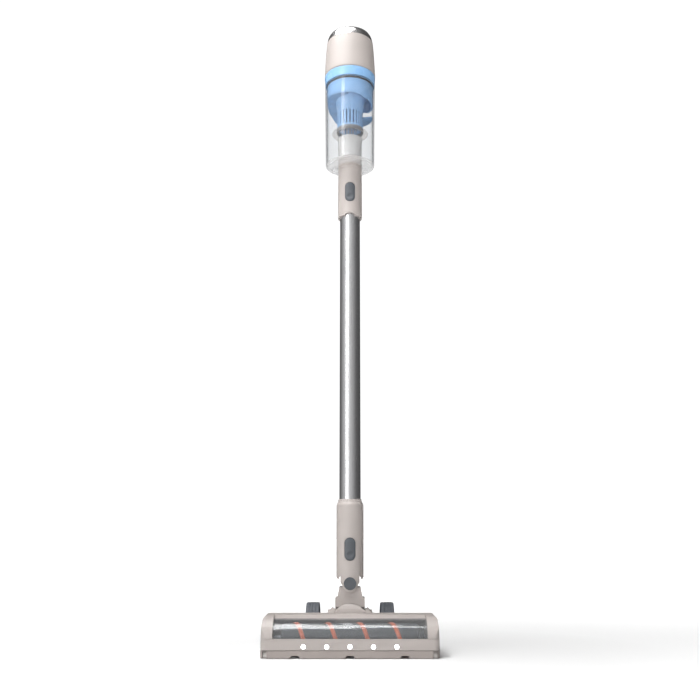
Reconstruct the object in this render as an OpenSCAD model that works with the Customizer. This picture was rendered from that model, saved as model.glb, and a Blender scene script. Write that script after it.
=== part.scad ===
// Cordless stick vacuum cleaner: floor head, wand and in-line hand unit.
// Millimetres. The vacuum stands upright on the floor z = 0 and its front faces -Y.

/* [Floor head] */
// Width of the floor head
head_w = 266; // [230:1:320]
// Height of the floor head
head_h = 58; // [56:0.5:70]
// Distance of the head's front face from the wand's axis
head_front = 92; // [90:1:115]
// Radius over the brush bristles
brush_r = 23.5; // [21:0.1:24]
// Width of each end cap
cap_w = 18; // [14:0.5:24]
// Wall of the floor head's shells
head_wall = 2.5; // [1.8:0.1:3.2]
// Height of the light bar
bar_h = 16; // [14:0.5:18]
// Number of headlights
led_count = 5; // [3:1:6]
// Spacing of the headlights
led_pitch = 34.5; // [25:0.5:36]
// Radius of a rear wheel
wheel_r = 34.5; // [30:0.5:36]
// Width of a rear wheel
wheel_w = 22; // [16:1:26]

/* [Neck and wand] */
// Diameter of the wand's tube
tube_d = 35; // [29:0.5:42]
// Wall of the wand's tube
tube_wall = 1.2; // [0.8:0.1:1.8]
// Length of tube seen between its collars
tube_len = 490; // [400:1:600]
// Depth of the tube in each collar
tube_socket = 24; // [18:1:28]
// Wall of the neck, the collars and the inlet
sleeve_wall = 4.5; // [3.5:0.1:6]
// Length of the neck connector's barrel
neck_len = 89; // [80:1:110]
// Length of the lower collar
lower_collar_len = 34; // [30:1:45]
// Length of the upper collar
upper_collar_len = 68; // [60:1:90]
// Depth that a plug enters its socket
plug_len = 18; // [12:1:20]
// Width of a release button
button_w = 17.5; // [14:0.5:19]
// Length of a release button
button_len = 36; // [30:1:40]
// Travel of a release button
button_travel = 1; // [0.8:0.1:1.2]

/* [Hand unit] */
// Radius of the dust bucket at its mouth
bucket_r = 45.5; // [40:0.5:52]
// Wall of the dust bucket
bucket_wall = 2.2; // [1.5:0.1:3]
// Length of the dust bucket
bucket_len = 159; // [145:1:190]
// Radius of the slotted shroud
shroud_r = 23.5; // [20:0.5:25]
// Number of slots in the shroud
slot_count = 24; // [16:1:28]
// Height of the motor housing
motor_h = 84; // [70:1:95]
// Width of the handle
handle_w = 32; // [28:1:38]
// Distance of the handle's back from the wand's axis
handle_back = 125; // [118:1:140]
// Width of the battery case
battery_w = 41; // [41:1:56]
// Radius of the charging socket's bore
socket_r = 3.1; // [2.5:0.1:3.5]

/* [Hidden] */
$fn = 64;
eps = 0.01;
gap = 0.4;              // between pieces that move apart
run_gap = 0.05;         // radial clearance of a pin in its bore
axis_y = (head_front - handle_back) / 2;   // the wand's axis, with the whole part centred on y = 0

// Floor head, in y from the wand's axis
bar_top = 28;
bar_bottom = bar_top - bar_h;
floor_clear = 0.9;      // sole plate over the floor
chamber_r = brush_r + 2.5;
window_wall = 2.4;
window_r = chamber_r + window_wall;
brush_y = -(head_front - window_r - 1.6);
brush_z = brush_r + 2;
inner_w = head_w - 2 * cap_w;
bar_inner_r = chamber_r + gap;
shell_front = brush_y + gap;
shell_back = 3;
chamber_back = brush_y + chamber_r;
duct_w = 40;
pivot_y = 8;
pivot_z = 48;
barrel_r = 20;
barrel_w = 47;
trunnion_r = 8;
trunnion_len = 9;
hub_w = 71;
cheek_in = barrel_w / 2 + 0.7;
sole_top = 4;
wheel_z = wheel_r;
wheel_y = shell_back + 2 + wheel_r;
wheel_in = hub_w / 2 + 14;
axle_r = 3;
hub_back = wheel_y + 11;
hub_floor = 24;
roller_r = 5;
roller_w = 6;
roller_y = -head_front + 9;
roller_x = head_w / 2 - 7;
pulley_y = brush_y + 52;
pulley_z = 30;
belt_x = inner_w / 2 - 7;
belt_w = 7;
motor_pulley_r = 7;
brush_pulley_r = 14;
belt_t = 1.2;
led_z = bar_bottom + 5;

// Neck and wand
sleeve_r = tube_d / 2 + sleeve_wall;
swivel_z = 102;
neck_z0 = swivel_z + 9;
wand_z0 = neck_z0 + neck_len;
tube_z0 = wand_z0 + lower_collar_len;
tube_z1 = tube_z0 + tube_len;
collar_z1 = tube_z1 + upper_collar_len;
plug_r = sleeve_r - 3;
airway_r = plug_r - 4.5;
elbow_half_x = 20;
elbow_half_y = sleeve_r - 6.6;
elbow_top = swivel_z - 6;
boss_r = 12.8;
swivel_pin_r = 4;
nozzle_button_z = wand_z0 - plug_len - 9 - button_len / 2;
wand_button_z = collar_z1 - 7 - button_len / 2;
button_t = 2.4;

// Hand unit
inlet_r = sleeve_r - 1;
inlet_plug_r = inlet_r - 4;
bucket_z0 = collar_z1 + 31;
bucket_z1 = bucket_z0 + bucket_len;
bucket_r0 = bucket_r - 2;
cyclone_r = bucket_r - bucket_wall - gap - 0.6;
seal_t = 3;
filter_z0 = bucket_z1 + gap;
rim_h = 17;
motor_z0 = filter_z0 + rim_h + gap;
motor_z1 = motor_z0 + motor_h;
motor_r = bucket_r + 1;
shroud_z0 = bucket_z0 + 73;
shroud_z1 = shroud_z0 + 32;
cyclone_z0 = bucket_z1 - 27;
vane_steps = 12;
vane_turn = 25;
vane_drop = 3.6;
vane_t = 5;
vane_taper = 0.07;
battery_z0 = bucket_z0 + 24;
battery_z1 = battery_z0 + 88;
battery_y0 = motor_r + 4;
battery_y1 = handle_back - 6;
dock_z1 = battery_z1 + 40;
grip_y = handle_back - 14;
bridge_z = motor_z1 - 5;
grip_r = 13.5;
handle_wall = 2.4;
loop_bend = 30;
// screws of the sole, at the right (mirrored at the left)
screw_spots = [[duct_w / 2 + head_wall / 2, shell_back - 1.6], [hub_w / 2 - 5.5, wheel_y - 4]];
band_h = 16;
latch_len = 14;
latch_travel = 8;

taupe = [0.70, 0.66, 0.63];
dark = [0.31, 0.33, 0.35];
blue = [0.42, 0.62, 0.84];

// ---- helpers ----

// Places a child that is drawn around the wand's axis
module on_axis() { translate([0, axis_y, 0]) children(); }

// Bar along X from a Y-Z outline
module x_bar(len) {
    rotate([90, 0, 90]) translate([0, 0, -len / 2]) linear_extrude(len) children();
}

// Plate along Y from an X-Z outline, from y0 to y1
module y_plate(y0, y1) {
    translate([0, y1, 0]) rotate([90, 0, 0]) linear_extrude(y1 - y0) children();
}

// Points of an arc about c from angle a0 to a1
function arc(c, r, a0, a1, n = 8) = [
    for (i = [0 : n]) c + r * [cos(a0 + (a1 - a0) * i / n), sin(a0 + (a1 - a0) * i / n)]
];

// Rectangle with rounded corners, centred
function rounded(w, h, r) = concat(
    arc([w / 2 - r, h / 2 - r], r, 0, 90), arc([r - w / 2, h / 2 - r], r, 90, 180),
    arc([r - w / 2, r - h / 2], r, 180, 270), arc([w / 2 - r, r - h / 2], r, 270, 360)
);

// Rod about X at y, z
module x_rod(r, len, y, z, x = 0) {
    translate([x - len / 2, y, z]) rotate([0, 90, 0]) cylinder(r = r, h = len);
}

// Rod about Y from y0 to y1 at x, z
module y_rod(r, y0, y1, x, z) {
    translate([x, y1, z]) rotate([90, 0, 0]) cylinder(r = r, h = y1 - y0);
}

// Upright tube
module pipe(r, bore, z0, z1) {
    difference() {
        translate([0, 0, z0]) cylinder(r = r, h = z1 - z0);
        translate([0, 0, z0 - 1]) cylinder(r = bore, h = z1 - z0 + 2);
    }
}

// Unit vector, and a line moved sideways by a distance with mitred corners
function unit(v) = v / norm(v);
function side_line(p, off) = [
    for (i = [0 : len(p) - 1]) let (
        last = unit(p[max(i, 1)] - p[max(i, 1) - 1]),
        next = unit(p[min(i + 1, len(p) - 1)] - p[min(i, len(p) - 2)]),
        mid = unit(last + next)
    ) p[i] + [-mid[1], mid[0]] * off / (mid * last)
];

// Thick line through points, for the handle's loop
module stroke(p, r) {
    back = side_line(p, -r);
    polygon(concat(side_line(p, r), [for (i = [len(p) - 1 : -1 : 0]) back[i]]));
}

// ---- floor head ----

// Outer envelope of the floor head: its plan and its front view
module head_envelope(back) {
    plan_r = 9;
    lean = 1.5;
    top_r = 5;
    rear_r = 9;
    half = head_w / 2;
    intersection() {
        linear_extrude(head_h) polygon(concat(
            arc([plan_r - half, plan_r - head_front], plan_r, 180, 270),
            arc([half - plan_r, plan_r - head_front], plan_r, 270, 360),
            arc([half - rear_r, shell_back - rear_r], rear_r, 0, 90),
            [[half - rear_r, back], [rear_r - half, back]],
            arc([rear_r - half, shell_back - rear_r], rear_r, 90, 180)
        ));
        y_plate(-head_front - 1, back + 1) polygon(concat(
            [[-half, 0], [half, 0], [half, bar_top]],
            arc([half - lean - top_r, head_h - top_r], top_r, 10, 90),
            arc([lean + top_r - half, head_h - top_r], top_r, 90, 170),
            [[-half, bar_top]]
        ));
    }
}

// Side outline of the floor head behind the window, less an inset
module head_side(inset) {
    polygon(concat(
        [[shell_front + inset, sole_top + gap], [shell_front + inset, head_h - 4.5 - inset]],
        [[shell_front + 11, head_h - inset]],
        arc([shell_back - 22, head_h - 22], 22 - inset, 90, 0),
        [[shell_back - inset, sole_top + gap]]
    ));
}

module head_shell() color(taupe) on_axis() {
    pocket_w = inner_w / 2 - duct_w / 2 - 2 * head_wall;
    difference() {
        union() {
            intersection() {
                x_bar(inner_w - 0.2) head_side(0);
                head_envelope(shell_back);
            }
            // hub block with its two cheeks
            for (s = [-1, 1]) translate([s * (cheek_in + hub_w / 2) / 2, 0, 0])
                x_bar(hub_w / 2 - cheek_in) polygon(concat(
                    [[shell_back - 20, sole_top + gap], [shell_back - 20, 52]],
                    arc([pivot_y, pivot_z], 12.5, 135, 45),
                    [[wheel_y + 6, wheel_z + 7], [hub_back, wheel_z], [hub_back, sole_top + gap]]
                ));
            x_bar(2 * cheek_in + eps) polygon([
                [shell_back - 1, sole_top + gap], [shell_back - 1, hub_floor],
                [hub_back, hub_floor - 6], [hub_back, sole_top + gap]
            ]);
        }
        // brush chamber
        x_rod(chamber_r, inner_w + 2, brush_y, brush_z);
        // motor pocket and board pocket, open below
        for (s = [-1, 1]) intersection() {
            translate([s * (duct_w / 2 + head_wall + pocket_w / 2), 0, 0]) x_bar(pocket_w)
                intersection() {
                    head_side(head_wall);
                    translate([chamber_back + head_wall, 0])
                        square([shell_back - chamber_back - 2 * head_wall, head_h]);
                }
            translate([0, 0, -1]) linear_extrude(head_h) square([inner_w - 60, 4 * head_front], center = true);
        }
        // end pocket for the belt
        translate([belt_x - belt_w / 2 - 1, chamber_back - 20, sole_top])
            cube([belt_w + 10, shell_back - head_wall - chamber_back + 20, 38]);
        // air duct from the chamber to the elbow
        translate([-duct_w / 2, brush_y, 10]) cube([duct_w, pivot_y - brush_y, 26]);
        // barrel's seat and the elbow's way back
        x_rod(barrel_r + 0.8, 2 * cheek_in, pivot_y, pivot_z);
        translate([-cheek_in, pivot_y - barrel_r - 0.8, pivot_z])
            cube([2 * cheek_in, 200, 60]);
        // trunnion bores and axle bores
        x_rod(trunnion_r + run_gap, hub_w - 4, pivot_y, pivot_z);
        for (s = [-1, 1]) x_rod(axle_r, 20, wheel_y, wheel_z, s * (hub_w / 2));
        // seat of the motor
        x_rod(15.4, 66, pulley_y, pulley_z, belt_x - 52);
        x_rod(3, 30, pulley_y, pulley_z, belt_x - 15);
        // screw holes
        for (s = [-1, 1], p = screw_spots) translate([s * p[0], p[1], sole_top])
            cylinder(r = 1.5, h = 12);
    }
}

module sole_plate() color(taupe * 0.9) on_axis() {
    lip_top = bar_bottom - 0.8;
    mouth_w = inner_w - 8;
    difference() {
        intersection() {
            union() {
                x_bar(head_w) polygon([
                    [-head_front, floor_clear], [-head_front, lip_top], [brush_y - 20, lip_top],
                    [brush_y - 17, sole_top], [shell_back, sole_top], [shell_back, floor_clear]
                ]);
            }
            head_envelope(shell_back);
        }
        // brush chamber over the mouth, and the mouth itself
        x_rod(chamber_r, inner_w, brush_y, brush_z);
        translate([-mouth_w / 2, brush_y - 15, 0]) cube([mouth_w, 30, 20]);
        // notches in the front lip
        for (x = [-led_pitch * 2.35, 0, led_pitch * 2.35]) y_plate(-head_front - 1, brush_y)
            translate([x, floor_clear]) polygon([[-8, -1], [8, -1], [5, 3.6], [-5, 3.6]]);
        // wells of the front rollers
        for (s = [-1, 1]) {
            translate([s * roller_x - roller_w / 2 - gap, -head_front - 1, 0])
                cube([roller_w + 2 * gap, 1 + 9 + roller_r + gap, 2 * roller_r + 0.6]);
            x_rod(1, roller_w + 6, roller_y, roller_r, s * roller_x);
        }
        // seat of the glide strip
        translate([-mouth_w / 2, brush_y + 19, 0]) cube([mouth_w, 8, 3]);
        // screw holes in the rear edge
        for (s = [-1, 1]) translate([s * screw_spots[0][0], screw_spots[0][1], 0])
            cylinder(r = 1.5, h = 12);
    }
    // tail under the hub
    difference() {
        translate([-hub_w / 2, shell_back, floor_clear + 1])
            cube([hub_w, hub_back - shell_back, sole_top - floor_clear - 1]);
        for (s = [-1, 1]) translate([s * screw_spots[1][0], screw_spots[1][1], 0])
            cylinder(r = 1.5, h = 12);
    }
}

module brush_window() color([0.8, 0.85, 0.9, 0.35]) on_axis() difference() {
    x_bar(inner_w - 0.4) polygon(concat(
        arc([brush_y, brush_z], window_r, 90, 174, 20), arc([brush_y, brush_z], chamber_r + 0.2, 174, 90, 20)
    ));
    translate([-head_w / 2, -head_front - 1, 0]) cube([head_w, 40, bar_top]);
}

module light_bar() color(taupe) on_axis() difference() {
    intersection() {
        translate([0, 0, bar_bottom]) linear_extrude(bar_h - 0.2) bar_plan();
        translate([-head_w / 2, -head_front, 0]) cube([head_w, window_r + 1.6 - 8, head_h]);
    }
    x_rod(bar_inner_r, inner_w, brush_y, brush_z);
    // pocket of the board, and the lens holes
    led_span = led_pitch * (led_count - 1) + 16;
    translate([-led_span / 2, -head_front + 2, led_z - 4]) cube([led_span, 8, 8]);
    for (i = [0 : led_count - 1])
        y_rod(3, -head_front - 1, -head_front + 3, (i - (led_count - 1) / 2) * led_pitch, led_z);
}

// Plan of the front bar, with its rounded corners
module bar_plan() {
    plan_r = 9;
    half = head_w / 2;
    polygon(concat(
        arc([plan_r - half, plan_r - head_front], plan_r, 180, 270),
        arc([half - plan_r, plan_r - head_front], plan_r, 270, 360),
        [[half, 0], [-half, 0]]
    ));
}

module led_board() color([0.1, 0.35, 0.2]) on_axis() {
    led_span = led_pitch * (led_count - 1) + 14;
    translate([-led_span / 2, -head_front + 2.4, led_z - 3.6]) cube([led_span, 1.2, 7.2]);
}

module led_lenses() color([1, 1, 1]) on_axis() {
    for (i = [0 : led_count - 1])
        y_rod(2.9, -head_front, -head_front + 2.3, (i - (led_count - 1) / 2) * led_pitch, led_z);
}

// Side wall of the head outside the brush, s is -1 on the left and 1 on the right
module end_cap(s) {
    difference() {
        intersection() {
            translate([s * (head_w / 2 - cap_w / 2), 0, 0]) x_bar(cap_w) polygon(concat(
                [[shell_back, sole_top + gap], [brush_y - 12, sole_top + gap], [brush_y - 12, bar_top]],
                arc([brush_y, bar_top], head_front + brush_y, 180, 90),
                arc([shell_back - 22, head_h - 22], 22, 90, 0)
            ));
            head_envelope(shell_back);
        }
        translate([s * (head_w / 2 - cap_w / 2), 0, 0]) x_bar(cap_w - 2 * head_wall) polygon(concat(
            [[shell_back - head_wall, sole_top + 3], [brush_y - 8, sole_top + 3], [brush_y - 8, bar_top]],
            arc([brush_y, bar_top], head_front + brush_y - head_wall - 8, 160, 90),
            arc([shell_back - 22, head_h - 22], 22 - head_wall, 90, 0)
        ));
        translate([-head_w, -head_front - 1, 0]) cube([2 * head_w, window_r - 5.4, bar_top + 0.2]);
        // axle bore of the brush
        x_rod(4 + run_gap, 6, brush_y, brush_z, s * (inner_w / 2 + 1));
    }
}

module end_cap_left() color(taupe) on_axis() difference() {
    end_cap(-1);
    // slot of the brush latch
    translate([-head_w, brush_y + 24, 24]) cube([head_w - inner_w / 2 - 1, latch_len + latch_travel + 2 * gap, 8]);
}

module end_cap_right() color(taupe) on_axis() end_cap(1);

module brush_latch() color(dark) on_axis()
    translate([-head_w / 2 + 0.6, brush_y + 24 + gap, 24 + gap]) cube([5, latch_len, 8 - 2 * gap]);

module hub_cover() color(taupe) on_axis() {
    hub_shell();
    // dome in front of the elbow's root
    intersection() {
        y_plate(pivot_y - 32, -elbow_half_y - 0.6)
            polygon(concat([[24, 58.4]], arc([0, 39.6], 31.6, 38, 142, 16), [[-24, 58.4]]));
        x_bar(hub_w) polygon([
            [pivot_y - 32, 58.4], [-22.6, 64], [-20.4, 68.4], [-17.6, 71.2], [-elbow_half_y, 72], [-elbow_half_y, 58.4]
        ]);
    }
}

// Cover over the barrel, with an ear each side
module hub_shell() difference() {
    y_plate(pivot_y - 32, pivot_y - 2) polygon([
        [-hub_w / 2, 52 + gap], [-hub_w / 2, 56], [-28.5, 64.3], [-25.5, 62.6],
        [25.5, 62.6], [28.5, 64.3], [hub_w / 2, 56], [hub_w / 2, 52 + gap]
    ]);
    x_rod(barrel_r + 0.6, 2 * cheek_in, pivot_y, pivot_z);
    // the cover slopes down to the head's top at the front
    x_bar(head_w) polygon([
        [pivot_y - 33, 50], [pivot_y - 33, 80], [pivot_y - 16, 80], [pivot_y - 16, 64], [pivot_y - 32, head_h + 0.4]
    ]);
    translate([-head_w / 2, -head_front, 0]) cube([head_w, head_front + shell_back - 8, head_h + 0.2]);
    for (s = [-1, 1]) translate([s * (cheek_in + hub_w / 2) / 2, 0, 0])
        x_bar(hub_w / 2 - cheek_in + 2) polygon(concat(
            [[shell_back - 20, 0], [shell_back - 20, 52.2]], arc([pivot_y, pivot_z], 12.7, 135, 45), [[40, 0]]
        ));
}

module brush_motor() color([0.6, 0.6, 0.62]) on_axis() {
    x_rod(15, 60, pulley_y, pulley_z, belt_x - 52);
    x_rod(1.5, 10, pulley_y, pulley_z, belt_x - 52 + 35);
}

module motor_pulley() color(dark) on_axis() difference() {
    x_rod(motor_pulley_r, belt_w, pulley_y, pulley_z, belt_x);
    x_rod(1.5 + run_gap, belt_w + 2, pulley_y, pulley_z, belt_x);
}

module drive_belt() color([0.12, 0.12, 0.12]) on_axis() translate([belt_x, 0, 0]) difference() {
    x_bar(belt_w - 1) belt_loop(belt_t + run_gap);
    x_bar(belt_w + 1) belt_loop(run_gap);
}

// Region inside a belt that stands off both pulleys by a distance
module belt_loop(off) {
    span = [brush_y - pulley_y, brush_z - pulley_z];
    a = atan2(span[1], span[0]);
    b = acos((brush_pulley_r - motor_pulley_r) / norm(span));
    polygon(concat(
        arc([brush_y, brush_z], brush_pulley_r + off, a - (180 - b), a + (180 - b), 28),
        arc([pulley_y, pulley_z], motor_pulley_r + off, a + (180 - b), a + 360 - (180 - b), 20)
    ));
}

module axle_pins() color([0.75, 0.75, 0.77]) on_axis() {
    for (s = [-1, 1]) {
        x_rod(axle_r, wheel_in - cheek_in - 3 + wheel_w - 2, wheel_y, wheel_z,
            s * (cheek_in + 3 + wheel_in + wheel_w - 2) / 2);
        x_rod(1, roller_w + 5, roller_y, roller_r, s * roller_x);
    }
}

module glide_strip() color([0.2, 0.2, 0.22]) on_axis()
    translate([-inner_w / 2 + 4, brush_y + 19, 0]) cube([inner_w - 8, 8, 3]);

module head_screws() color([0.5, 0.5, 0.52]) on_axis() {
    for (s = [-1, 1], p = screw_spots) translate([s * p[0], p[1], floor_clear + 1]) {
        cylinder(r = 1.5, h = 11);
    }
}

// ---- brush ----

module brush_core() color([0.25, 0.25, 0.27]) on_axis() {
    x_rod(15, inner_w - 2 * belt_w - 10, brush_y, brush_z);
    x_rod(4, inner_w + 6, brush_y, brush_z);
}

module brush_nap() color([0.18, 0.19, 0.20]) on_axis() difference() {
    x_rod(brush_r - 2.5, inner_w - 2 * belt_w - 10, brush_y, brush_z);
    x_rod(15, inner_w, brush_y, brush_z);
}

module bristle_strip() color([0.75, 0.30, 0.18]) on_axis() {
    brush_len = inner_w - 2 * belt_w - 14;
    lead = 48;
    turns = brush_len / lead;
    half_angle = 27;
    start = 143 + 360 / lead * (74 - brush_len / 2);
    translate([-brush_len / 2, brush_y, brush_z]) rotate([90, 0, 90])
        linear_extrude(brush_len, twist = -360 * turns, slices = ceil(24 * turns)) polygon(concat(
            arc([0, 0], brush_r, start - half_angle, start + half_angle, 6),
            arc([0, 0], brush_r - 2.1, start + half_angle, start - half_angle, 6)
        ));
}

module brush_pulley() color(dark) on_axis() difference() {
    x_rod(brush_pulley_r, belt_w, brush_y, brush_z, belt_x);
    x_rod(4, belt_w + 2, brush_y, brush_z, belt_x);
}

// ---- wheels ----

module rear_wheel(s) {
    inner = s * wheel_in;
    difference() {
        x_rod(wheel_r, wheel_w, wheel_y, wheel_z, s * (wheel_in + wheel_w / 2));
        x_rod(axle_r + run_gap, 2 * wheel_w, wheel_y, wheel_z, s * (wheel_in + wheel_w / 2));
        x_rod(wheel_r - 6, 8, wheel_y, wheel_z, inner);
    }
    difference() {
        x_rod(8, wheel_w - 2, wheel_y, wheel_z, s * (wheel_in + wheel_w / 2));
        x_rod(axle_r + run_gap, 2 * wheel_w, wheel_y, wheel_z, s * (wheel_in + wheel_w / 2));
    }
}

module rear_wheel_left() color(dark) on_axis() rear_wheel(-1);

module rear_wheel_right() color(dark) on_axis() rear_wheel(1);

module front_roller(s) {
    difference() {
        x_rod(roller_r, roller_w, roller_y, roller_r, s * roller_x);
        x_rod(1 + run_gap, roller_w + 2, roller_y, roller_r, s * roller_x);
    }
}

module front_roller_left() color([0.85, 0.83, 0.8]) on_axis() front_roller(-1);

module front_roller_right() color([0.85, 0.83, 0.8]) on_axis() front_roller(1);

// ---- elbow and neck ----

module elbow() color(taupe) on_axis() difference() {
    union() {
        x_rod(barrel_r, barrel_w, pivot_y, pivot_z);
        x_rod(trunnion_r, barrel_w + 2 * trunnion_len, pivot_y, pivot_z);
        // wide root over the barrel
        x_bar(barrel_w) polygon([
            [pivot_y - 11, 64.6], [-elbow_half_y, 66], [-elbow_half_y, 80], [elbow_half_y, 80],
            [pivot_y + barrel_r, pivot_z], [pivot_y, pivot_z]
        ]);
        // neck, narrower towards the swivel
        y_plate(-elbow_half_y, elbow_half_y) polygon([
            [-elbow_half_x, 78], [elbow_half_x, 78], [elbow_half_x - 0.4, 84],
            [elbow_half_x - 2.7, elbow_top], [2.7 - elbow_half_x, elbow_top], [0.4 - elbow_half_x, 84]
        ]);
        // ears around the swivel pins
        for (s = [-1, 1]) y_plate(s * elbow_half_y - (s + 1) * 1.5, s * elbow_half_y + (1 - s) * 1.5)
            polygon(concat([[-11.5, 90], [11.5, 90]], arc([0, swivel_z], 11.5, 0, 180, 16)));
    }
    // airway
    translate([-elbow_half_x + 5, 3 - elbow_half_y, pivot_z]) cube([2 * elbow_half_x - 10, 2 * elbow_half_y - 6, 90]);
    x_rod(barrel_r - 4, 2 * elbow_half_x - 10, pivot_y, pivot_z);
    translate([5 - elbow_half_x, pivot_y - 30, pivot_z - 13]) cube([2 * elbow_half_x - 10, 30, 13]);
    y_rod(swivel_pin_r + run_gap, -60, 60, 0, swivel_z);
}

module airway_hose() color([0.2, 0.2, 0.22]) on_axis()
    pipe(11.5, 10, pivot_z + 17, neck_z0 - 2);

module neck_connector() color(taupe) on_axis() difference() {
    union() {
        translate([0, 0, neck_z0]) cylinder(r = sleeve_r, h = neck_len - 0.2);
        // tongues that carry the swivel pins
        intersection() {
            translate([0, 0, swivel_z - 20]) cylinder(r = sleeve_r, h = 40);
            y_plate(-sleeve_r, sleeve_r) polygon(concat(
                [[sleeve_r, neck_z0 + 1], [-sleeve_r, neck_z0 + 1], [-sleeve_r, neck_z0]],
                arc([0, swivel_z], boss_r, 188, 352, 16), [[sleeve_r, neck_z0]]
            ));
        }
    }
    // room for the elbow's head between the tongues
    y_rod(19.1, -elbow_half_y - 0.4, elbow_half_y + 0.4, 0, swivel_z);
    // airway and the socket of the wand's plug
    translate([0, 0, swivel_z - 30]) cylinder(r = airway_r, h = 300);
    translate([0, 0, wand_z0 - plug_len - 1]) cylinder(r = plug_r + 0.3, h = 100);
    button_well(nozzle_button_z, sleeve_r);
    y_rod(swivel_pin_r, -60, 60, 0, swivel_z);
    // seat of the front pin's cap
    y_rod(9.9, -sleeve_r - 1, -sleeve_r + 1.6, 0, swivel_z);
}

// Well of a release button in the front of a sleeve
module button_well(z, r) {
    y_plate(-r - 1, -r + button_t + button_travel)
        translate([0, z]) polygon(rounded(button_w + 2 * gap, button_len + 2 * gap, button_w / 2));
}

// Release button that fills its well and follows the sleeve's curve
module release_button(z, r) {
    intersection() {
        y_plate(-r - 1, -r + button_t)
            translate([0, z]) polygon(rounded(button_w, button_len, button_w / 2 - eps));
        translate([0, 0, z - button_len]) cylinder(r = r, h = 2 * button_len);
    }
}

module swivel_pins() color(dark) on_axis() {
    y_rod(9.8, -sleeve_r - 0.4, -sleeve_r + 1.5, 0, swivel_z);
    y_rod(swivel_pin_r, -sleeve_r + 1.5, -elbow_half_y + 3, 0, swivel_z);
    y_rod(swivel_pin_r, elbow_half_y - 3, sleeve_r - 0.4, 0, swivel_z);
}

module nozzle_button() color(dark) on_axis() release_button(nozzle_button_z, sleeve_r);

// Leaf spring behind a release button
module leaf_spring(z, r) {
    translate([-3, -r + button_t + 0.1, z - 10]) cube([6, button_travel - 0.2, 20]);
}

module nozzle_button_spring() color([0.7, 0.7, 0.72]) on_axis() leaf_spring(nozzle_button_z, sleeve_r);

// ---- wand ----

module wand_tube() color([0.80, 0.80, 0.81]) on_axis()
    pipe(tube_d / 2, tube_d / 2 - tube_wall, tube_z0 - tube_socket, tube_z1 + tube_socket);

module lower_collar() color(taupe) on_axis() difference() {
    union() {
        rotate_extrude() polygon(concat(
            [[0, wand_z0], [sleeve_r, wand_z0], [sleeve_r, tube_z0 - 15]],
            arc([sleeve_r - 9, tube_z0 - 11], 9, 0, 40, 5),
            [[tube_d / 2 + 1.2, tube_z0], [0, tube_z0]]
        ));
        translate([0, 0, wand_z0 - plug_len]) cylinder(r = plug_r, h = plug_len + 1);
    }
    translate([0, 0, wand_z0 - plug_len - 1]) cylinder(r = airway_r, h = 100);
    translate([0, 0, tube_z0 - tube_socket]) cylinder(r = tube_d / 2, h = 100);
}

module upper_collar() color(taupe) on_axis() difference() {
    translate([0, 0, tube_z1]) cylinder(r = inlet_r + 0.2, h = upper_collar_len - 0.2);
    // tube's socket, airway and the socket of the inlet
    translate([0, 0, tube_z1 - 1]) cylinder(r = tube_d / 2, h = tube_socket + 1);
    translate([0, 0, tube_z1]) cylinder(r = airway_r - 1, h = upper_collar_len);
    translate([0, 0, collar_z1 - plug_len - 1]) cylinder(r = inlet_plug_r + 0.3, h = 40);
    button_well(wand_button_z, inlet_r + 0.2);
    // arched lower edge at the front
    y_plate(-60, 60) polygon(concat([[-8, tube_z1 - 1], [8, tube_z1 - 1]], arc([0, tube_z1 - 14], 18, 60, 120)));
}

module wand_button() color(dark) on_axis() release_button(wand_button_z, inlet_r + 0.2);

module wand_button_spring() color([0.7, 0.7, 0.72]) on_axis() leaf_spring(wand_button_z, inlet_r + 0.2);

// ---- dust bucket ----

module dust_bucket() color([0.85, 0.88, 0.92, 0.35]) on_axis() rotate_extrude() polygon([
    [bucket_r0 - bucket_wall, bucket_z0 + 2.6], [bucket_r0, bucket_z0 + 2.6], [bucket_r, bucket_z1],
    [bucket_r - bucket_wall, bucket_z1]
]);

module bucket_floor() color([0.9, 0.9, 0.92, 0.6]) on_axis() difference() {
    rotate_extrude() polygon(concat(
        [[inlet_r, bucket_z0]], arc([bucket_r0 - 2.5, bucket_z0 + 2.5], 2.5, 270, 360, 4),
        [[inlet_r, bucket_z0 + 2.5]]
    ));
    translate([0, 0, bucket_z0 - 1]) cylinder(r = inlet_r, h = 9);
}

module inlet_neck() color(taupe) on_axis() difference() {
    union() {
        translate([0, 0, collar_z1]) cylinder(r = inlet_r, h = bucket_z0 + 14 - collar_z1);
        translate([0, 0, collar_z1 - plug_len]) cylinder(r = inlet_plug_r, h = plug_len + 1);
    }
    translate([0, 0, collar_z1 - plug_len - 1]) cylinder(r = airway_r - 1, h = 200);
    // seam grooves of the joint to the bucket
    for (z = [bucket_z0 - 4, bucket_z0 - 9]) difference() {
        translate([0, 0, z]) cylinder(r = inlet_r + 1, h = 0.8);
        translate([0, 0, z - 1]) cylinder(r = inlet_r - 0.8, h = 3);
    }
}

module inlet_tube() color([0.85, 0.88, 0.9, 0.35]) on_axis() difference() {
    translate([0, 0, bucket_z0 + 14]) cylinder(r1 = shroud_r - 1, r2 = shroud_r - 2, h = 40);
    translate([0, 0, bucket_z0 + 13]) cylinder(r = airway_r - 1, h = 100);
}

module inlet_flap() color(dark) on_axis() {
    translate([0, -3, bucket_z0 + 14 + 40 + gap]) cylinder(r = airway_r, h = 1.6);
    x_rod(2, 12, airway_r - 1, bucket_z0 + 14 + 40 + gap + 2);
}

// ---- cyclone and filter ----

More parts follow.
